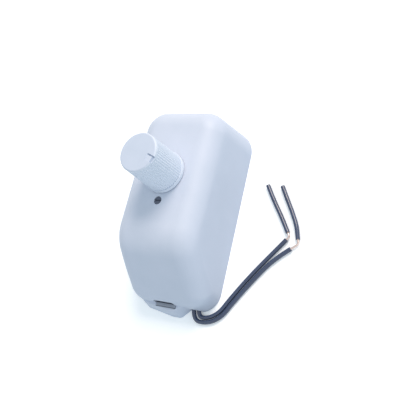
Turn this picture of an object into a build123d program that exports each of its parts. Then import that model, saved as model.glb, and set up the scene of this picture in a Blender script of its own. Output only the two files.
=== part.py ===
"""Surface-mounted rotary dimmer, lying on its mounting face. All sizes are in millimetres."""
from build123d import *
from math import acos, cos, degrees, pi, radians, sin, tan
import os

os.makedirs("parts", exist_ok=True)

# Housing
housing_length = 104.0
housing_width = 51.5
top_corner_radius = 13.5
bottom_corner_radius = 11.0
side_draft = 1.5
front_radius = 10.5
wall = 2.2
face_slope = 3.2
belly_from_bottom = 36.5
belly_depth = 42.1
chin_from_bottom = 20.6
chin_depth = 36.2
bottom_depth = 11.4

# Knob
knob_from_bottom = 65.0
knob_lift = 0.5
knob_height = 26.4
rim_overhang = 0.4
rim_height = 2.0
skirt_base_radius = 11.3
skirt_top_radius = 10.8
cap_height = 1.9
cap_edge_radius = 0.9
rib_count = 54
rib_depth = 0.35
knob_wall = 1.6
hub_radius = 5.0
hub_lift = 4.4
pointer_angle = -20.0
pointer_inner_radius = 6.3
pointer_width = 3.6
pointer_depth = 1.3
pointer_groove = 0.7
pointer_recess = 0.15

# Control
shaft_radius = 3.0
shaft_top = 17.0
flat_from_axis = 1.5
clip_thickness = 0.5
clip_width = 4.0
bushing_wall = 0.45
bushing_top = 3.6
flange_radius = 4.6
flange_thickness = 1.0
control_radius = 8.2
control_height = 8.2
control_wall = 1.0
control_roof = 1.2
wafer_thickness = 1.4
track_inner = 4.6
track_outer = 6.4
track_thickness = 0.2
rotor_radius = 6.2
rotor_thickness = 2.5
tab_radius = 6.9
tab_half_angle = 8.0
lug_radius = 6.5
lug_half_angle = 18.0
lug_angle = -90.0
wiper_thickness = 0.3
washer_radius = 5.6
washer_thickness = 0.5
nut_flats = 10.0
nut_thickness = 2.2

# Board and its fixings
board_width = 40.0
board_below_knob = 29.5
board_above_knob = 19.5
board_thickness = 1.6
board_corner = 2.0
board_screw_radius = 1.35
board_screw_length = 8.0
head_radius = 2.6
head_height = 1.8
post_radius = 3.2
upper_post_x = 16.5
upper_post_y = 15.5
lower_post_y = -25.5

# Cover screw
cover_screw_below_knob = 15.6
cover_post_radius = 3.6
cover_screw_radius = 1.45
cover_screw_length = 12.0
cover_head_radius = 2.1
cover_head_height = 1.4
cover_head_recess = 0.4
screw_pad_radius = 4.4
screw_pad_thickness = 2.0
screw_slot = 0.8
screw_slot_depth = 0.7

# Base plate
base_thickness = 2.5
mount_spacing = 60.0
mount_from_bottom = 28.0
mount_hole_radius = 2.2
mount_head_radius = 4.0
mount_sink = 1.2
hook_width = 16.0
hook_thickness = 1.5
hook_low = 3.6
hook_high = 5.2
hook_reach = 0.8

# Release slot and its tab
slot_centre = -2.4
slot_width = 13.2
slot_top = 12.1
slot_depth = 6.0
lip_left = 21.5
lip_shoulder = 16.8
lip_shoulder_reach = 2.3
lip_flat_left = 1.0
lip_flat_right = 6.8
lip_right = 12.0
lip_reach = 5.2
lip_height = 8.0
lip_draft = 15.0
lip_corner = 4.0
lip_edge_radius = 0.8
lip_inner = 1.6
lip_root_height = 6.0
tab_top = 8.5
tab_thickness = 1.8
shelf_top = 6.0
tab_clearance = 0.3

# Lead notch and clamp
notch_from_side = 12.15
notch_width = 6.8
notch_height = 4.4
notch_corner = 2.0
notch_length = 14.0
clamp_from_bottom = 19.0
clamp_width = 5.0
clamp_length = 14.0
clamp_thickness = 2.2
clamp_screw_spacing = 10.4
clamp_screw_radius = 1.25
clamp_screw_bottom = 0.6
clamp_head_radius = 2.2
clamp_head_height = 1.5

# Leads
lead_diameter = 2.4
copper_diameter = 1.1
lead_pitch = 2.8
pad_pitch = 3.0
pad_x = 6.5
pad_y = -20.0
lead_drop = 13.0
slug_end_recess = 1.0

# Clearances
hole_clearance = 0.2
screw_clearance = 0.15
running_clearance = 0.05
moving_clearance = 0.3
base_clearance = 0.25
post_clearance = 0.6
overrun = 1.0


def at(height):
    """Height above the housing's lower edge as a position along the length. The middle counts the lip."""
    return height - (housing_length - lip_reach) / 2


# Frame of the front face, with its origin on the knob's axis
slope = radians(face_slope)


def face_depth(y):
    return belly_depth - tan(slope) * (y - at(belly_from_bottom))


knob_y = at(knob_from_bottom)
face = Plane((0, knob_y, face_depth(knob_y)), x_dir=(1, 0, 0), z_dir=(0, sin(slope), cos(slope)))
wall_under = -wall
board_top = wall_under - control_height
board_under = board_top - board_thickness


# Solids used throughout
def disc(radius, low, high, x=0.0, y=0.0):
    return Pos(x, y, low) * Cylinder(radius, high - low, align=(Align.CENTER, Align.CENTER, Align.MIN))


def ring(outer, inner, low, high, x=0.0, y=0.0):
    return disc(outer, low, high, x, y) - disc(inner, low - overrun, high + overrun, x, y)


def slab(x0, x1, y0, y1, z0, z1):
    return Pos(x0, y0, z0) * Box(x1 - x0, y1 - y0, z1 - z0, align=(Align.MIN, Align.MIN, Align.MIN))


def rod(radius, start, end):
    path = Vector(*end) - Vector(*start)
    return Plane(start, z_dir=path) * Cylinder(radius, path.length,
                                               align=(Align.CENTER, Align.CENTER, Align.MIN))


def sector(inner, outer, low, high, middle, half_angle):
    reach = outer * 2
    first, last = radians(middle - half_angle), radians(middle + half_angle)
    corners = [(0, 0), (reach * cos(first), reach * sin(first)), (reach * cos(last), reach * sin(last)),
               (0, 0)]
    wedge = Pos(0, 0, low) * extrude(make_face(Polyline(*corners)), high - low)
    return ring(outer, inner, low, high) & wedge


def on_face(solid):
    return face.location * solid


def save(node, solid):
    solids = solid.solids()
    export_step(solids[0] if len(solids) == 1 else Compound(children=solids), f"parts/{node}.step")


# Housing forms, at full size and set in by a wall
def footprint(inset):
    half = housing_width / 2 - inset
    top, low = at(housing_length) - inset, at(0) + inset
    outline = make_face(Polyline((half, low), (half, top), (-half, top), (-half, low), (half, low)))
    outline = fillet(outline.vertices().sort_by(Axis.Y)[-2:], top_corner_radius - inset)
    return fillet(outline.vertices().sort_by(Axis.Y)[:2], bottom_corner_radius - inset)


def side_profile(inset):
    margin = front_radius + overrun
    far, near = at(housing_length) + margin, at(0) - margin
    belly = (at(belly_from_bottom), belly_depth)
    chin = (at(chin_from_bottom), chin_depth)
    bottom = (at(0), bottom_depth)
    belly_arc = TangentArc(belly, chin, tangent=(-cos(slope), sin(slope)))
    chin_arc = TangentArc(chin, bottom, tangent=belly_arc % 1)
    run_out = chin_arc % 1
    foot = (near, bottom[1] + run_out.Y / run_out.X * (near - bottom[0]))
    rest = Polyline(foot, (near, -housing_width), (far, -housing_width), (far, face_depth(far)), belly)
    outline = make_face(belly_arc + chin_arc + Line(bottom, foot) + rest)
    return offset(Plane.YZ * outline, -inset) if inset else Plane.YZ * outline


def housing_form(inset):
    block = extrude(footprint(inset), belly_depth + front_radius, taper=side_draft)
    form = block & extrude(side_profile(inset), housing_width, both=True)
    seams = [at(belly_from_bottom), at(chin_from_bottom)]
    rounded = [
        edge for edge in form.edges()
        if min(corner.Z for corner in edge.vertices()) > overrun
        and not any(all(abs(corner.Y - seam) < overrun + inset for corner in edge.vertices())
                    for seam in seams)
    ]
    return fillet(rounded, front_radius - inset)


# Openings at the bottom edge
def bottom_opening(centre, width, top, start, length):
    return slab(centre - width / 2, centre + width / 2, at(start), at(length), -overrun, top)


notch_centre = housing_width / 2 - notch_from_side
release_slot = bottom_opening(slot_centre, slot_width, slot_top, -lip_inner, slot_depth)
release_slot = fillet(release_slot.edges().filter_by(Axis.Y).sort_by(Axis.Z)[-2:], overrun)
lead_notch = bottom_opening(notch_centre, notch_width, notch_height, -overrun, wall + overrun)
lead_notch = fillet(lead_notch.edges().filter_by(Axis.Y).sort_by(Axis.Z)[-2:], notch_corner)

# Lip that bows out round the release slot
lip_root = at(lip_root_height)
lip_outline = make_face(Polyline(
    (-lip_left, lip_root), (-lip_shoulder, at(-lip_shoulder_reach)), (lip_flat_left, at(-lip_reach)),
    (lip_flat_right, at(-lip_reach)), (lip_right, at(0)), (lip_right, lip_root), (-lip_left, lip_root)))
lip = Pos(slot_centre, 0, 0) * extrude(lip_outline, lip_height, taper=lip_draft)
lip_corners = [edge for edge in lip.edges()
               if edge.bounding_box().size.Z > overrun and edge.center().Y < at(0)]
lip = fillet(lip_corners, lip_corner)
lip_rim = [edge for edge in lip.edges().group_by(Axis.Z)[-1] if edge.center().Y < at(0)]
lip = fillet(lip_rim, lip_edge_radius)

# Cover
screw_y = -cover_screw_below_knob
pad_under = wall_under - screw_pad_thickness
head_seat = -cover_head_recess - cover_head_height
cover = housing_form(0) + lip - housing_form(wall)
cover += on_face(disc(screw_pad_radius, pad_under, wall_under + wall / 2, 0, screw_y))
cover -= on_face(disc(shaft_radius + bushing_wall + running_clearance + hole_clearance,
                      wall_under - overrun, overrun))
cover -= on_face(disc(cover_head_radius + hole_clearance, head_seat, overrun, 0, screw_y))
cover -= on_face(disc(cover_screw_radius + screw_clearance, pad_under - overrun, 0, 0, screw_y))
cover -= release_slot
cover -= lead_notch
hook_top = at(housing_length) - wall
cover -= slab(-hook_width / 2 - hole_clearance, hook_width / 2 + hole_clearance,
              hook_top - overrun, hook_top + hook_reach,
              hook_low - hole_clearance, hook_high + hole_clearance)
save("housing_cover", cover)

# Base plate with its posts, hook and release tab
base = extrude(footprint(wall + base_clearance), base_thickness, taper=side_draft)
above_plate = slab(-housing_width, housing_width, -housing_length, housing_length, base_thickness / 2,
                   housing_length)
posts = [(-upper_post_x, upper_post_y), (upper_post_x, upper_post_y), (0, lower_post_y)]
for x, y in posts:
    base += on_face(disc(post_radius, -belly_depth, board_under, x, y)) & above_plate
base += on_face(disc(cover_post_radius, -belly_depth, pad_under, 0, screw_y)) & above_plate
tab_half = slot_width / 2 - tab_clearance
tab_start = tab_clearance - lip_inner
base += slab(slot_centre - tab_half, slot_centre + tab_half, at(tab_start), at(tab_start + tab_thickness),
             0, tab_top)
base += slab(slot_centre - tab_half, slot_centre + tab_half, at(tab_start), at(slot_depth), 0, shelf_top)
hook_face = hook_top - base_clearance - tan(radians(side_draft)) * hook_high
base += slab(-hook_width / 2, hook_width / 2, hook_face - hook_thickness, hook_face, base_thickness / 2,
             hook_high)
base += slab(-hook_width / 2, hook_width / 2, hook_face - hook_thickness,
             hook_top + hook_reach - hole_clearance,
             hook_low, hook_high)
for x, y in posts:
    base -= on_face(disc(board_screw_radius, board_under - board_screw_length + board_thickness,
                         board_under, x, y))
base -= on_face(disc(cover_screw_radius, head_seat - cover_screw_length, pad_under, 0, screw_y))
mount_rows = [at(mount_from_bottom), at(mount_from_bottom + mount_spacing)]
for y in mount_rows:
    base -= disc(mount_hole_radius, -overrun, base_thickness + overrun, 0, y)
    base -= disc(mount_head_radius, base_thickness - mount_sink, base_thickness + overrun, 0, y)
base -= slab(notch_centre - notch_width / 2, notch_centre + notch_width / 2,
             at(-overrun), at(notch_length), -overrun, base_thickness + overrun)
clamp_y = at(clamp_from_bottom)
clamp_screws = [notch_centre - clamp_screw_spacing / 2, notch_centre + clamp_screw_spacing / 2]
for x in clamp_screws:
    base -= disc(clamp_screw_radius, clamp_screw_bottom, base_thickness, x, clamp_y)
save("base_plate", base)

# Cover screw
cover_screw = disc(cover_head_radius, head_seat, -cover_head_recess, 0, screw_y)
cover_screw -= slab(-cover_head_radius, cover_head_radius, screw_y - screw_slot / 2, screw_y + screw_slot / 2,
                    -cover_head_recess - screw_slot_depth, 0)
cover_screw += disc(cover_screw_radius, head_seat - cover_screw_length, head_seat, 0, screw_y)
save("cover_screw", on_face(cover_screw))

# Knob: ribbed skirt, smooth rim, flat cap and pointer notch
knob_top = knob_lift + knob_height
skirt_low = knob_lift + rim_height
skirt_high = knob_top - cap_height


def ribbed(radius, height):
    corners = []
    for index in range(2 * rib_count):
        reach = radius - rib_depth * (index % 2)
        angle = pi * index / rib_count
        corners.append((reach * cos(angle), reach * sin(angle)))
    return Pos(0, 0, height) * make_face(Polyline(*corners, corners[0]))


def cone(low_radius, high_radius, low, high):
    return Pos(0, 0, low) * Cone(low_radius, high_radius, high - low,
                                 align=(Align.CENTER, Align.CENTER, Align.MIN))


knob = loft([ribbed(skirt_base_radius, skirt_low), ribbed(skirt_top_radius, skirt_high)], ruled=True)
rim_radius = skirt_base_radius + rim_overhang
rim = disc(rim_radius, knob_lift, skirt_low)
rim = fillet(rim.edges().sort_by(Axis.Z)[-1], rim_overhang)
cap = disc(skirt_top_radius, skirt_high, knob_top)
cap = fillet(cap.edges().sort_by(Axis.Z)[-1], cap_edge_radius)
knob += rim + cap
cavity_top = knob_top - cap_height
knob -= cone(skirt_base_radius - rib_depth - knob_wall, skirt_top_radius - rib_depth - knob_wall,
             knob_lift, cavity_top)
knob += disc(hub_radius, hub_lift, cavity_top + cap_height / 2)
bore_flat = flat_from_axis + clip_thickness
d_bore = disc(shaft_radius, hub_lift, shaft_top) - slab(bore_flat, hub_radius, -hub_radius, hub_radius, 0,
                                                        shaft_top)
knob -= d_bore
notch_low = knob_top - pointer_depth
pointer_side = pointer_width / 2
pointer_notch = slab(pointer_inner_radius, rim_radius, -pointer_side, pointer_side, notch_low,
                     knob_top + overrun)
knob -= Rot(0, 0, pointer_angle) * pointer_notch
save("knob", on_face(knob))

# White pointer set in the notch, leaving a groove at one side
pointer = slab(pointer_inner_radius, skirt_top_radius - cap_edge_radius, -pointer_side,
               pointer_side - pointer_groove, notch_low, knob_top - pointer_recess)
save("knob_pointer", on_face(Rot(0, 0, pointer_angle) * pointer))

# Spring clip between the knob's bore and the shaft's flat
clip = slab(flat_from_axis, bore_flat, -clip_width / 2, clip_width / 2, hub_lift, shaft_top)
save("knob_clip", on_face(clip))

# Control: bushing, body, wafer, track, terminals
bushing_bore = shaft_radius + running_clearance
bushing_radius = bushing_bore + bushing_wall
roof_under = wall_under - control_roof
flange_under = roof_under - flange_thickness
bushing = ring(bushing_radius, bushing_bore, flange_under, bushing_top)
bushing += ring(flange_radius, bushing_bore, flange_under, roof_under)
save("control_bushing", on_face(bushing))

control_bore = control_radius - control_wall
wafer_top = board_top + wafer_thickness
control_body = ring(control_radius, bushing_radius, board_top, wall_under)
control_body -= disc(control_bore, board_top - overrun, roof_under)
rotor_top = flange_under - moving_clearance
rotor_under = rotor_top - rotor_thickness
control_body += sector(lug_radius, control_bore + control_wall / 2, rotor_under, roof_under, lug_angle,
                       lug_half_angle)
save("control_body", on_face(control_body))
save("control_wafer", on_face(disc(control_bore, board_top, wafer_top)))
track_top = wafer_top + track_thickness
track = ring(track_outer, track_inner, wafer_top, track_top)
track -= sector(track_inner - overrun, track_outer + overrun, wafer_top - overrun, track_top + overrun,
                lug_angle, lug_half_angle)
save("control_track", on_face(track))

pin_radius = 0.5
pin_length = 2.8
pins = [(-3.2, -5.0), (0.0, -5.9), (3.2, -5.0)]
terminals = [disc(pin_radius, board_top - pin_length, board_top, x, y) for x, y in pins]
save("control_terminals", on_face(Compound(children=terminals)))

# Moving pieces of the control
flat_start = hub_lift - moving_clearance
shaft = disc(shaft_radius, rotor_under, shaft_top)
shaft -= slab(flat_from_axis, shaft_radius + overrun, -shaft_radius, shaft_radius, flat_start,
              shaft_top + overrun)
save("control_shaft", on_face(shaft))
rotor = ring(rotor_radius, shaft_radius, rotor_under, rotor_top)
rotor += sector(rotor_radius - overrun, tab_radius, rotor_under, rotor_top, pointer_angle, tab_half_angle)
save("control_rotor", on_face(rotor))
wiper_under = rotor_under - wiper_thickness
wiper = ring(rotor_radius, shaft_radius + moving_clearance, wiper_under, rotor_under)
wiper += Rot(0, 0, pointer_angle) * slab(track_inner, track_outer - moving_clearance, -wiper_thickness * 2,
                                         wiper_thickness * 2, track_top + moving_clearance, wiper_under)
save("control_wiper", on_face(wiper))

# Washer and nut that hold the cover against the control
save("control_washer", on_face(ring(washer_radius, bushing_radius, 0, washer_thickness)))
nut_top = washer_thickness + nut_thickness
nut = Pos(0, 0, washer_thickness) * extrude(RegularPolygon(nut_flats / 2, 6, major_radius=False),
                                            nut_thickness)
save("control_nut", on_face(nut - disc(bushing_radius, 0, nut_top + overrun)))

# Board
board = slab(-board_width / 2, board_width / 2, -board_below_knob, board_above_knob, board_under, board_top)
board = fillet(board.edges().filter_by(Axis.Z), board_corner)
board -= disc(cover_post_radius + post_clearance, board_under - overrun, board_top + overrun, 0, screw_y)
for x, y in posts:
    board -= disc(board_screw_radius + screw_clearance, board_under - overrun, board_top + overrun, x, y)
for x, y in pins:
    board -= disc(pin_radius, board_under - overrun, board_top + overrun, x, y)
save("circuit_board", on_face(board))

board_screws = [
    disc(head_radius, board_top, board_top + head_height, x, y)
    + disc(board_screw_radius, board_under - board_screw_length + board_thickness, board_top, x, y)
    for x, y in posts
]
save("board_screws", on_face(Compound(children=board_screws)))

# Choke: ring core with a wound wire, flat on the board
choke_x, choke_y = -8.5, 4.0
core_inner, core_outer, core_height = 5.0, 8.0, 5.2
winding_wire = 0.8
turn_count = 16
core_high = board_under - winding_wire
core_low = core_high - core_height
save("choke_core", on_face(ring(core_outer, core_inner, core_low, core_high, choke_x, choke_y)))
turn = slab(core_inner - winding_wire, core_outer + winding_wire, -winding_wire / 2, winding_wire / 2,
            core_low - winding_wire, core_high + winding_wire)
core_bar = ring(core_outer, core_inner, core_low, core_high)
turns = [
    Pos(choke_x, choke_y, 0) * Rot(0, 0, 360 * index / turn_count) * turn
    - Pos(choke_x, choke_y, 0) * core_bar
    for index in range(turn_count)
]
save("choke_winding", on_face(Compound(children=turns)))

# Capacitors
def film_case(x, y, width, length, height, edge):
    case = slab(x - width / 2, x + width / 2, y - length / 2, y + length / 2, board_under - height,
                board_under)
    return fillet(case.edges().filter_by(Axis.Z), edge)


filter_x, filter_y, filter_width, filter_length, filter_height, filter_edge = 10.5, 3.5, 8.0, 18.0, 13.0, 0.8
save("filter_capacitor",
     on_face(film_case(filter_x, filter_y, filter_width, filter_length, filter_height, filter_edge)))
timing_x, timing_y, timing_width, timing_length, timing_height, timing_edge = 4.0, 16.0, 7.0, 3.0, 7.0, 0.5
save("timing_capacitor",
     on_face(film_case(timing_x, timing_y, timing_width, timing_length, timing_height, timing_edge)))


# Small parts on two bent wires
def wired(radius, length, x, y):
    wire_radius, foot_length = 0.3, 1.8
    level = board_under - radius - wire_radius
    half = length / 2 + foot_length
    body = rod(radius, (x - length / 2, y, level), (x + length / 2, y, level))
    wire = rod(wire_radius, (x - half, y, level), (x + half, y, level))
    feet = [rod(wire_radius, (x + side * half, y, level), (x + side * half, y, board_under))
            for side in (-1, 1)]
    bends = [Pos(x + side * half, y, level) * Sphere(wire_radius) for side in (-1, 1)]
    return body + wire + feet[0] + feet[1] + bends[0] + bends[1]


wired_x, resistor_y, wired_pitch = -11.0, -7.6, 3.3
resistor_radius, resistor_length = 1.2, 6.0
resistors = [wired(resistor_radius, resistor_length, wired_x, resistor_y - row * wired_pitch)
             for row in (0, 1)]
save("resistors", on_face(Compound(children=resistors)))
diac_radius, diac_length = 0.95, 4.0
save("diac", on_face(wired(diac_radius, diac_length, wired_x, resistor_y - 2 * wired_pitch)))

# Heat sink: upright plate with a foot on the board
sink_low, sink_high = -19.0, -5.0
sink_face = -21.5
sink_thickness = 1.5
sink_foot = 3.0
sink_height = 17.0
sink_screw_drop = 14.0
sink_screw_radius = 1.5
triac_x = (sink_low + sink_high) / 2
screw_level = board_under - sink_screw_drop
sink_back = sink_face + sink_thickness
heat_sink = slab(sink_low, sink_high, sink_face, sink_back, board_under - sink_height, board_under)
heat_sink += slab(sink_low, sink_high, sink_face, sink_back + sink_foot, board_under - sink_thickness,
                  board_under)
heat_sink -= rod(sink_screw_radius + screw_clearance, (triac_x, sink_face - overrun, screw_level),
                 (triac_x, sink_back + overrun, screw_level))
save("heat_sink", on_face(heat_sink))

# Triac against the heat sink, standing on its three legs
triac_width, triac_depth, triac_height, triac_lift = 10.0, 4.5, 9.0, 2.5
metal_thickness, metal_height = 1.3, 5.6
body_high = board_under - triac_lift
body_low = body_high - triac_height
triac = slab(triac_x - triac_width / 2, triac_x + triac_width / 2, sink_face - triac_depth, sink_face,
             body_low, body_high)
triac_tab = slab(triac_x - triac_width / 2, triac_x + triac_width / 2, sink_face - metal_thickness, sink_face,
                 body_low - metal_height, body_low)
triac_tab -= rod(sink_screw_radius + screw_clearance, (triac_x, sink_face - triac_depth, screw_level),
                 (triac_x, sink_face + overrun, screw_level))
triac += triac_tab
leg_width, leg_depth, leg_pitch = 0.8, 0.5, 2.54
for step in (-1, 0, 1):
    leg_x = triac_x + step * leg_pitch
    leg_y = sink_face - triac_depth / 2
    triac += slab(leg_x - leg_width / 2, leg_x + leg_width / 2, leg_y - leg_depth / 2, leg_y + leg_depth / 2,
                  body_high, board_under)
save("triac", on_face(triac))

sink_head_radius, sink_head_height, sink_nut_flats, sink_nut_thickness = 2.4, 1.8, 5.5, 2.4
tab_face = sink_face - metal_thickness
nut_end = sink_back + sink_nut_thickness
sink_screw = rod(sink_head_radius, (triac_x, tab_face - sink_head_height, screw_level),
                 (triac_x, tab_face, screw_level))
sink_screw += rod(sink_screw_radius, (triac_x, tab_face, screw_level),
                  (triac_x, nut_end + overrun / 2, screw_level))
save("heat_sink_screw", on_face(sink_screw))
sink_nut = Plane((triac_x, sink_back, screw_level), z_dir=(0, 1, 0)) * extrude(
    RegularPolygon(sink_nut_flats / 2, 6, major_radius=False), sink_nut_thickness)
sink_nut -= rod(sink_screw_radius, (triac_x, sink_back - overrun, screw_level),
                (triac_x, nut_end + overrun, screw_level))
save("heat_sink_nut", on_face(sink_nut))

# Fuse and its two clips
fuse_x, fuse_low, fuse_high = 13.0, -28.0, -8.0
cap_radius, cap_length, glass_radius, glass_wall, fuse_wire_radius = 2.6, 5.0, 2.4, 0.5, 0.15
clip_sheet, clip_length, clip_rise = 0.5, 4.0, 5.6
fuse_level = board_under - clip_sheet - cap_radius
glass_low, glass_high = fuse_low + cap_length, fuse_high - cap_length
fuse_caps = [
    rod(cap_radius, (fuse_x, fuse_low, fuse_level), (fuse_x, glass_low, fuse_level)),
    rod(cap_radius, (fuse_x, glass_high, fuse_level), (fuse_x, fuse_high, fuse_level)),
]
save("fuse_caps", on_face(Compound(children=fuse_caps)))
fuse_glass = rod(glass_radius, (fuse_x, glass_low, fuse_level), (fuse_x, glass_high, fuse_level))
fuse_glass -= rod(glass_radius - glass_wall, (fuse_x, glass_low - overrun, fuse_level),
                  (fuse_x, glass_high + overrun, fuse_level))
save("fuse_glass", on_face(fuse_glass))
save("fuse_wire",
     on_face(rod(fuse_wire_radius, (fuse_x, glass_low, fuse_level), (fuse_x, glass_high, fuse_level))))
clip_half = cap_radius + clip_sheet
fuse_clips = []
for clip_low in (fuse_low + (cap_length - clip_length) / 2, fuse_high - (cap_length + clip_length) / 2):
    cheek = slab(fuse_x - clip_half, fuse_x + clip_half, clip_low, clip_low + clip_length,
                 board_under - clip_rise, board_under)
    fuse_clips.append(cheek - slab(fuse_x - cap_radius, fuse_x + cap_radius, clip_low - overrun,
                                   clip_low + clip_length + overrun, board_under - clip_rise - overrun,
                                   board_under - clip_sheet))
save("fuse_clips", on_face(Compound(children=fuse_clips)))

# Solder at the control's pins and at the two leads
solder_radius, solder_height = 1.2, 0.9
solder = [
    cone(pin_radius + hole_clearance, solder_radius, board_under - solder_height,
         board_under).moved(Pos(x, y, 0))
    - disc(pin_radius, board_under - solder_height - overrun, board_under + overrun, x, y)
    for x, y in pins
]
lead_pads = [pad_x - pad_pitch / 2, pad_x + pad_pitch / 2]
solder += [
    cone(solder_radius, pin_radius, board_top, board_top + solder_height).moved(Pos(x, pad_y, 0))
    for x in lead_pads
]
save("solder_joints", on_face(Compound(children=solder)))

# Clamp that holds the two leads on the base plate
lead_radius = lead_diameter / 2
clamp_under = base_thickness + lead_diameter
clamp_top = clamp_under + clamp_thickness
clamp = slab(notch_centre - clamp_length / 2, notch_centre + clamp_length / 2, clamp_y - clamp_width / 2,
             clamp_y + clamp_width / 2, base_thickness, clamp_top)
clear_half = lead_pitch / 2 + lead_radius
clamp -= slab(notch_centre - clear_half, notch_centre + clear_half, clamp_y - clamp_width,
              clamp_y + clamp_width,
              base_thickness - overrun, clamp_under)
for x in clamp_screws:
    clamp -= disc(clamp_screw_radius + screw_clearance, 0, clamp_top + overrun, x, clamp_y)
save("lead_clamp", clamp)
screws = [
    disc(clamp_head_radius, clamp_top, clamp_top + clamp_head_height, x, clamp_y)
    + disc(clamp_screw_radius, clamp_screw_bottom, clamp_top, x, clamp_y)
    for x in clamp_screws
]
save("lead_clamp_screws", Compound(children=screws))


# Leads: from the board, under the clamp, out of the notch and round to their free ends
def turn_between(first, corner, last):
    before, after = corner - first, last - corner
    return degrees(acos(before.normalized().dot(after.normalized())))


def corner_radii(points, share=0.45):
    radii = []
    for first, corner, last in zip(points, points[1:], points[2:]):
        shorter = min((corner - first).length, (last - corner).length)
        radii.append(share * shorter / tan(radians(turn_between(first, corner, last)) / 2))
    return radii


def swept_round(points, radii, radius):
    path = FilletPolyline(*points, radius=radii)
    start = path % 0
    tube = sweep(Plane(path @ 0, z_dir=start) * Circle(radius), path=path)
    return tube, path


on_table = lead_radius
under_clamp = base_thickness + lead_radius
descent_start = 10.5
descent_radius = 25.0
bend_start = 30.0


def lead_points(pad, x, outside):
    head = face.from_local_coords(Vector(pad, pad_y, board_under))
    below = face.from_local_coords(Vector(pad, pad_y, board_under - lead_drop))
    inside = [head, below, Vector(x, at(bend_start), under_clamp), Vector(x, at(descent_start), under_clamp)]
    return inside + [Vector(px, at(height), on_table) for px, height in outside]


lead_x = [notch_centre - lead_pitch / 2, notch_centre + lead_pitch / 2]
outer_route = [(lead_x[0], -5.4), (22.2, -5.4), (29.5, -0.8), (34.0, 7.1), (43.8, 21.9), (52.9, 33.7),
               (61.1, 40.1)]
inner_route = [(lead_x[1], -2.8), (21.5, -2.8), (27.7, 1.3), (31.5, 8.1), (39.7, 20.9), (49.0, 33.5),
               (57.7, 44.8)]
outer_slug = [(64.0, 45.5), (61.9, 52.6), (57.9, 59.8), (53.5, 66.8), (49.3, 73.7)]
inner_slug = [(57.6, 48.6), (52.4, 56.6), (46.0, 65.4), (40.6, 73.7)]


def lead_set(name, pad, x, outside, slug_route):
    points = lead_points(pad, x, outside)
    radii = corner_radii(points)
    radii[2] = descent_radius
    lead, path = swept_round(points, radii, lead_radius)
    save(f"lead_{name}", lead)
    print(f"lead_{name}", "radii", [round(value, 1) for value in radii], "length", round(path.length, 1),
          "volume share", round(lead.volume / (path.length * pi * lead_radius**2), 4))
    slug_points = [Vector(px, at(height), on_table) for px, height in slug_route]
    slug_radii = corner_radii(slug_points)
    slug, slug_path = swept_round(slug_points, slug_radii, lead_radius)
    end, heading = path @ 1, path % 1
    entry = (slug_points[1] - slug_points[0]).normalized()
    corner = end + heading * ((slug_points[0] - end).cross(entry).Z / heading.cross(entry).Z)
    last_run = (slug_points[-1] - slug_points[-2]).normalized()
    core_radii = corner_radii([end, corner, slug_points[0]]) + slug_radii
    core_points = [end, corner] + slug_points[1:-1] + [slug_points[-1] - last_run * slug_end_recess]
    core, core_path = swept_round(core_points, core_radii, copper_diameter / 2)
    bore, _ = swept_round(core_points[:-1] + [slug_points[-1]], core_radii, copper_diameter / 2)
    save(f"slug_{name}", slug - bore)
    save(f"copper_{name}", core)
    print(f"slug_{name}", "radii", [round(value, 1) for value in slug_radii], "length",
          round(slug_path.length, 1),
          "copper radii", [round(value, 1) for value in core_radii], "length", round(core_path.length, 1))


lead_set("outer", lead_pads[0], lead_x[0], outer_route, outer_slug)
lead_set("inner", lead_pads[1], lead_x[1], inner_route, inner_slug)
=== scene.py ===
"""Looks of the surface-mounted dimmer, lying on its mounting face on a pale floor. Sizes are in metres."""
import bpy
from math import cos, radians, sin, tan
from mathutils import Matrix, Vector


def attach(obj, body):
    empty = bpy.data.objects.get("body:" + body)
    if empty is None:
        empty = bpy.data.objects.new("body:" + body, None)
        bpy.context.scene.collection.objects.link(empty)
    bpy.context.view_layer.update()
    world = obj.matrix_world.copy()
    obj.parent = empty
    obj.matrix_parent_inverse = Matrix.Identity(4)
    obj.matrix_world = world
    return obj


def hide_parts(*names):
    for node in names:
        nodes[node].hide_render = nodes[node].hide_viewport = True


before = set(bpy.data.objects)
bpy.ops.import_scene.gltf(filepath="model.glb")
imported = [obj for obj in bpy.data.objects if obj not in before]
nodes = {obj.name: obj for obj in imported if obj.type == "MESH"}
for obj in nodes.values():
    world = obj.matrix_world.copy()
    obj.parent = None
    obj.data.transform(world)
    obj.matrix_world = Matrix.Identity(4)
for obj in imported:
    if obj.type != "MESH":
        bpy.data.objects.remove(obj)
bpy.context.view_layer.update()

scene = bpy.context.scene

# Camera at the photograph's angle
azimuth, elevation, roll = radians(34.6), radians(-12.2), radians(13.24)
distance = 0.400
aim = Vector((0.0, 0.0026, 0.020))
back = Vector((sin(azimuth) * cos(elevation), sin(elevation), cos(azimuth) * cos(elevation)))
right = Vector((cos(azimuth), 0.0, -sin(azimuth)))
up = back.cross(right)
image_right = right * cos(roll) + up * sin(roll)
image_up = up * cos(roll) - right * sin(roll)
camera_data = bpy.data.cameras.new("camera")
camera_data.sensor_width = 36.0
camera_data.lens = 65.75
camera_data.shift_x = 0.0509
camera_data.shift_y = 0.0195
camera = bpy.data.objects.new("camera", camera_data)
axes = Matrix((image_right, image_up, back)).transposed().to_4x4()
camera.matrix_world = Matrix.Translation(aim + back * distance) @ axes
scene.collection.objects.link(camera)
scene.camera = camera

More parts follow.
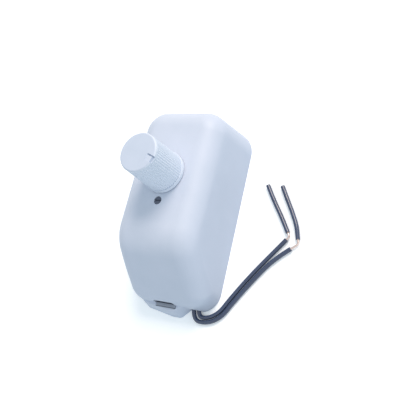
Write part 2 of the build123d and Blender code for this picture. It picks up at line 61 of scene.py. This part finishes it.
# Leads: the route points of the source in millimetres, from the board to the cut ends of the insulation
millimetre = 0.001
lead_diameter = 2.4 * millimetre
origin_height = 49.4
face_slope = radians(3.2)
belly_from_bottom, belly_depth = 36.5, 42.1
knob_from_bottom = 65.0
knob_height = belly_depth - tan(face_slope) * (knob_from_bottom - belly_from_bottom)
knob_axis = Vector((0.0, knob_from_bottom - origin_height, knob_height))
face_x = Vector((1.0, 0.0, 0.0))
face_normal = Vector((0.0, sin(face_slope), cos(face_slope)))
face_y = face_normal.cross(face_x)
wall, control_reach, board_thickness = 2.2, 8.2, 1.6
board_under = -wall - control_reach - board_thickness
pad_y, lead_drop = -20.0, 13.0
bend_start, descent_start = 30.0, 10.5
under_clamp, on_table = 3.7, 1.2


def from_face(x, y, z):
    return knob_axis + face_x * x + face_y * y + face_normal * z


def on_floor(route):
    return [Vector((x, height - origin_height, on_table)) for x, height in route]


def lead_route(pad_x, x, outside):
    inside = [from_face(pad_x, pad_y, board_under), from_face(pad_x, pad_y, board_under - lead_drop)]
    level = [Vector((x, height - origin_height, under_clamp)) for height in (bend_start, descent_start)]
    return [point * millimetre for point in inside + level + on_floor(outside)]


outer_route = lead_route(5.0, 12.2, [
    (12.2, -5.4), (22.2, -5.4), (29.5, -0.8), (34.0, 7.1), (43.8, 21.9), (52.9, 33.7), (61.1, 40.1)])
inner_route = lead_route(8.0, 15.0, [
    (15.0, -2.8), (21.5, -2.8), (27.7, 1.3), (31.5, 8.1), (39.7, 20.9), (49.0, 33.5), (57.7, 44.8)])


def smooth_curve(name, route, radius):
    """A round tube on a smooth line. Its radius is held by the points, so that its box is the tube's own."""
    data = bpy.data.curves.new(name, "CURVE")
    data.dimensions = "3D"
    data.bevel_depth = 1.0
    data.bevel_resolution = 6
    data.resolution_u = 16
    data.use_fill_caps = True
    spline = data.splines.new("NURBS")
    spline.points.add(len(route) - 1)
    for target, point in zip(spline.points, route):
        target.co = (*point, 1.0)
        target.radius = radius
    spline.order_u = 3
    spline.use_endpoint_u = True
    piece = bpy.data.objects.new(name, data)
    scene.collection.objects.link(piece)
    return piece


def measured_length(piece):
    depth = piece.data.bevel_depth
    piece.data.bevel_depth = 0.0
    evaluated = piece.evaluated_get(bpy.context.evaluated_depsgraph_get())
    mesh = bpy.data.meshes.new_from_object(evaluated)
    places = [vertex.co.copy() for vertex in mesh.vertices]
    length = sum((places[edge.vertices[0]] - places[edge.vertices[1]]).length for edge in mesh.edges)
    bpy.data.meshes.remove(mesh)
    piece.data.bevel_depth = depth
    return length


leads = {}
for name, route, carried in (("outer", outer_route, ["slug_outer", "copper_outer"]),
                             ("inner", inner_route, ["slug_inner", "copper_inner"])):
    lead = smooth_curve("insulated_lead_" + name, route, lead_diameter / 2)
    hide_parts("lead_" + name)
    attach(lead, "housing")
    bpy.context.view_layer.update()
    measured_length(lead)
    leads[name] = lead


# Materials
def new_material(name):
    material = bpy.data.materials.new(name)
    material.use_nodes = True
    tree = material.node_tree
    tree.nodes.clear()
    output = tree.nodes.new("ShaderNodeOutputMaterial")
    shader = tree.nodes.new("ShaderNodeBsdfPrincipled")
    tree.links.new(shader.outputs["BSDF"], output.inputs["Surface"])
    return material, tree, shader


def srgb(red, green, blue):
    def channel(value):
        value /= 255.0
        return value / 12.92 if value <= 0.04045 else ((value + 0.055) / 1.055) ** 2.4
    return (channel(red), channel(green), channel(blue), 1.0)


def noise(tree, scale, detail=3.0, roughness=0.5):
    """Noise in object space, so a piece's pattern moves with it."""
    place = tree.nodes.new("ShaderNodeTexCoord")
    texture = tree.nodes.new("ShaderNodeTexNoise")
    texture.inputs["Scale"].default_value = scale
    texture.inputs["Detail"].default_value = detail
    texture.inputs["Roughness"].default_value = roughness
    tree.links.new(place.outputs["Object"], texture.inputs["Vector"])
    return texture


def ramp(tree, source, stops):
    mapped = tree.nodes.new("ShaderNodeValToRGB")
    for element, (position, colour) in zip(mapped.color_ramp.elements, stops):
        element.position = position
        element.color = colour
    tree.links.new(source, mapped.inputs["Fac"])
    return mapped


def grey(value):
    return (value, value, value, 1.0)


def bump(tree, shader, source, strength, depth):
    relief = tree.nodes.new("ShaderNodeBump")
    relief.inputs["Strength"].default_value = strength
    relief.inputs["Distance"].default_value = depth
    tree.links.new(source, relief.inputs["Height"])
    tree.links.new(relief.outputs["Normal"], shader.inputs["Normal"])


grain_depth = 0.00002


def moulded(name, pale, deep, low_rough, high_rough, grain=2600.0, sheen=0.0, polish=0.25, metallic=0.0,
            spread=90.0):
    """Moulded plastic or metal: slow colour drift, uneven gloss and a fine grain."""
    material, tree, shader = new_material(name)
    drift = noise(tree, spread, 4.0, 0.55)
    tint = ramp(tree, drift.outputs["Fac"], [(0.3, deep), (0.7, pale)])
    tree.links.new(tint.outputs["Color"], shader.inputs["Base Color"])
    gloss = noise(tree, spread * 4.0, 5.0, 0.6)
    rough = ramp(tree, gloss.outputs["Fac"], [(0.25, grey(low_rough)), (0.75, grey(high_rough))])
    tree.links.new(rough.outputs["Color"], shader.inputs["Roughness"])
    fine = noise(tree, grain, 2.0, 0.5)
    bump(tree, shader, fine.outputs["Fac"], 0.35, grain_depth)
    shader.inputs["Metallic"].default_value = metallic
    shader.inputs["Coat Weight"].default_value = sheen
    shader.inputs["Coat Roughness"].default_value = polish
    return material


cover_plastic = moulded("cover_plastic", srgb(212, 219, 234), srgb(208, 216, 231), 0.44, 0.54, sheen=0.03)
knob_plastic = moulded("knob_plastic", srgb(208, 217, 233), srgb(203, 213, 229), 0.40, 0.50, sheen=0.04)
# The base plate's darker grey is partly its own tone and partly painted shade for the release slot where it
# shows.
base_plastic = moulded("base_plastic", srgb(170, 177, 191), srgb(162, 169, 184), 0.44, 0.56)
pointer_plastic = moulded("pointer_plastic", srgb(212, 220, 236), srgb(207, 216, 232), 0.40, 0.50)
insulation = moulded("lead_insulation", srgb(54, 71, 102), srgb(43, 59, 88), 0.20, 0.28, grain=1800.0,
                     sheen=0.5, polish=0.18)
copper = moulded("drawn_copper", srgb(224, 209, 204), srgb(196, 178, 171), 0.25, 0.40, grain=5200.0,
                 metallic=1.0)
steel = moulded("plated_steel", srgb(196, 198, 202), srgb(168, 171, 176), 0.28, 0.42, metallic=1.0)
# Painted shade: the screw head's colour is darkened to stand for the shade it sits in under the knob's rim.
screw_painted_shade = moulded("screw_with_painted_shade", srgb(92, 102, 120), srgb(72, 81, 97), 0.32, 0.5, metallic=1.0)
turned_brass = moulded("turned_brass", srgb(205, 170, 105), srgb(170, 132, 74), 0.25, 0.38, metallic=1.0)
sink_metal = moulded("folded_aluminium", srgb(200, 202, 205), srgb(176, 178, 182), 0.36, 0.5, metallic=1.0)
laminate = moulded("board_laminate", srgb(186, 146, 96), srgb(160, 118, 70), 0.45, 0.6, spread=260.0)
dark_plastic = moulded("dark_plastic", srgb(44, 44, 46), srgb(32, 32, 34), 0.4, 0.55)
carbon = moulded("carbon_track", srgb(34, 34, 35), srgb(22, 22, 23), 0.5, 0.7)
film_case = moulded("film_case", srgb(176, 62, 46), srgb(150, 44, 32), 0.2, 0.32, sheen=0.3)
lacquer = moulded("resistor_coat", srgb(205, 178, 138), srgb(184, 154, 114), 0.3, 0.42, sheen=0.2)
ferrite = moulded("ferrite", srgb(62, 62, 66), srgb(44, 44, 48), 0.5, 0.7, spread=300.0)
solder = moulded("solder", srgb(190, 192, 196), srgb(160, 162, 168), 0.22, 0.4, metallic=1.0)


def clear_glass():
    material, tree, shader = new_material("fuse_glass")
    drift = noise(tree, 200.0)
    tint = ramp(tree, drift.outputs["Fac"], [(0.3, srgb(236, 244, 242)), (0.7, srgb(244, 250, 248))])
    tree.links.new(tint.outputs["Color"], shader.inputs["Base Color"])
    shader.inputs["Roughness"].default_value = 0.05
    shader.inputs["Transmission Weight"].default_value = 1.0
    shader.inputs["IOR"].default_value = 1.5
    return material


def painted_skirt_light(material, pale):
    """Painted light: the ribbed skirt's sloping faces get a paler tone than the flat cap, making up for the
    shade in its grooves.
    """
    tree = material.node_tree
    shader = next(node for node in tree.nodes if node.type == "BSDF_PRINCIPLED")
    cap_colour = shader.inputs["Base Color"].links[0].from_socket
    place = tree.nodes.new("ShaderNodeTexCoord")
    parts = tree.nodes.new("ShaderNodeSeparateXYZ")
    tree.links.new(place.outputs["Normal"], parts.inputs["Vector"])
    share = ramp(tree, parts.outputs["Z"], [(0.55, grey(1.0)), (0.9, grey(0.0))])
    skirt_light_mix = tree.nodes.new("ShaderNodeMix")
    skirt_light_mix.data_type = "RGBA"
    skirt_light_mix.inputs["B"].default_value = pale
    tree.links.new(share.outputs["Color"], skirt_light_mix.inputs["Factor"])
    tree.links.new(cap_colour, skirt_light_mix.inputs["A"])
    tree.links.new(skirt_light_mix.outputs["Result"], shader.inputs["Base Color"])


# Painted light: the knob's skirt is tinted paler than its cap, standing in for light on the ribs.
painted_skirt_light(knob_plastic, srgb(228, 235, 246))

finishes = {
    cover_plastic: ["housing_cover"],
    base_plastic: ["base_plate"],
    knob_plastic: ["knob"],
    pointer_plastic: ["knob_pointer"],
    screw_painted_shade: ["cover_screw"],
    insulation: ["slug_outer", "slug_inner"],
    copper: ["copper_outer", "copper_inner", "choke_winding"],
    steel: ["knob_clip", "control_wiper", "control_body", "control_terminals", "control_washer",
            "control_nut", "board_screws", "heat_sink_screw", "heat_sink_nut", "fuse_caps", "fuse_wire",
            "fuse_clips", "lead_clamp_screws"],
    turned_brass: ["control_shaft", "control_bushing"],
    sink_metal: ["heat_sink"],
    laminate: ["circuit_board"],
    dark_plastic: ["control_rotor", "control_wafer", "triac", "lead_clamp"],
    carbon: ["control_track"],
    film_case: ["filter_capacitor", "timing_capacitor"],
    lacquer: ["resistors", "diac"],
    ferrite: ["choke_core"],
    solder: ["solder_joints"],
    clear_glass(): ["fuse_glass"],
}
for material, members in finishes.items():
    for name in members:
        for place in nodes[name].material_slots:
            place.material = material
for lead in leads.values():
    lead.data.materials.append(insulation)


def white_where_seen(tree, lighting):
    """White to camera, glossy and transmission rays, and the lighting colour to all others."""
    ray = tree.nodes.new("ShaderNodeLightPath")
    share = ray.outputs["Is Camera Ray"]
    for kind in ("Is Glossy Ray", "Is Transmission Ray"):
        either = tree.nodes.new("ShaderNodeMath")
        either.operation = "MAXIMUM"
        tree.links.new(share, either.inputs[0])
        tree.links.new(ray.outputs[kind], either.inputs[1])
        share = either.outputs["Value"]
    seen = tree.nodes.new("ShaderNodeMix")
    seen.data_type = "RGBA"
    seen.inputs["A"].default_value = lighting
    seen.inputs["B"].default_value = grey(1.0)
    tree.links.new(share, seen.inputs["Factor"])
    return seen.outputs["Result"], share


# Floor, plain and pale, white to the camera and in reflections
floor_mesh = bpy.data.meshes.new("floor")
reach = 1.5
floor_corners = [(-reach, -reach, 0.0), (reach, -reach, 0.0), (reach, reach, 0.0), (-reach, reach, 0.0)]
floor_mesh.from_pydata(floor_corners, [], [(0, 1, 2, 3)])
floor = bpy.data.objects.new("floor", floor_mesh)
scene.collection.objects.link(floor)
floor_material, floor_tree, floor_shader = new_material("floor")
floor_colour, background = white_where_seen(floor_tree, (0.55, 0.63, 0.70, 1.0))
floor_glow = 0.24
lift = floor_tree.nodes.new("ShaderNodeMath")
lift.operation = "MULTIPLY"
lift.inputs[1].default_value = floor_glow
floor_tree.links.new(background, lift.inputs[0])
floor_shader.inputs["Emission Color"].default_value = (0.92, 0.97, 1.0, 1.0)
floor_tree.links.new(lift.outputs["Value"], floor_shader.inputs["Emission Strength"])
floor_tree.links.new(floor_colour, floor_shader.inputs["Base Color"])
floor_shader.inputs["Roughness"].default_value = 0.9
floor_shader.inputs["Specular IOR Level"].default_value = 0.0
floor_mesh.materials.append(floor_material)

# Soft studio light: an even surround that is seen as white, a large lamp above and a weak one at the right
world = bpy.data.worlds.new("studio")
world.use_nodes = True
surround = world.node_tree.nodes["Background"]
surround.inputs["Strength"].default_value = 1.0
world_colour = white_where_seen(world.node_tree, (0.545, 0.62, 0.675, 1.0))[0]
world.node_tree.links.new(world_colour, surround.inputs["Color"])
scene.world = world


lamp_distance = 3.0


def lamp(name, direction, size, energy, colour):
    data = bpy.data.lights.new(name, "AREA")
    data.shape = "DISK"
    data.size = size
    data.energy = energy
    data.color = colour
    holder = bpy.data.objects.new(name, data)
    towards = Vector(direction).normalized()
    holder.location = aim + towards * lamp_distance
    holder.rotation_euler = towards.to_track_quat("Z", "Y").to_euler()
    scene.collection.objects.link(holder)


lamp("key_lamp", (0.24, 0.68, 0.69), size=1.6, energy=59.0, colour=(1.0, 0.864, 0.773))
lamp("fill_lamp", (0.90, -0.38, 0.34), size=1.9, energy=8.0, colour=(0.92, 0.96, 1.0))

scene.view_settings.view_transform = "Standard"
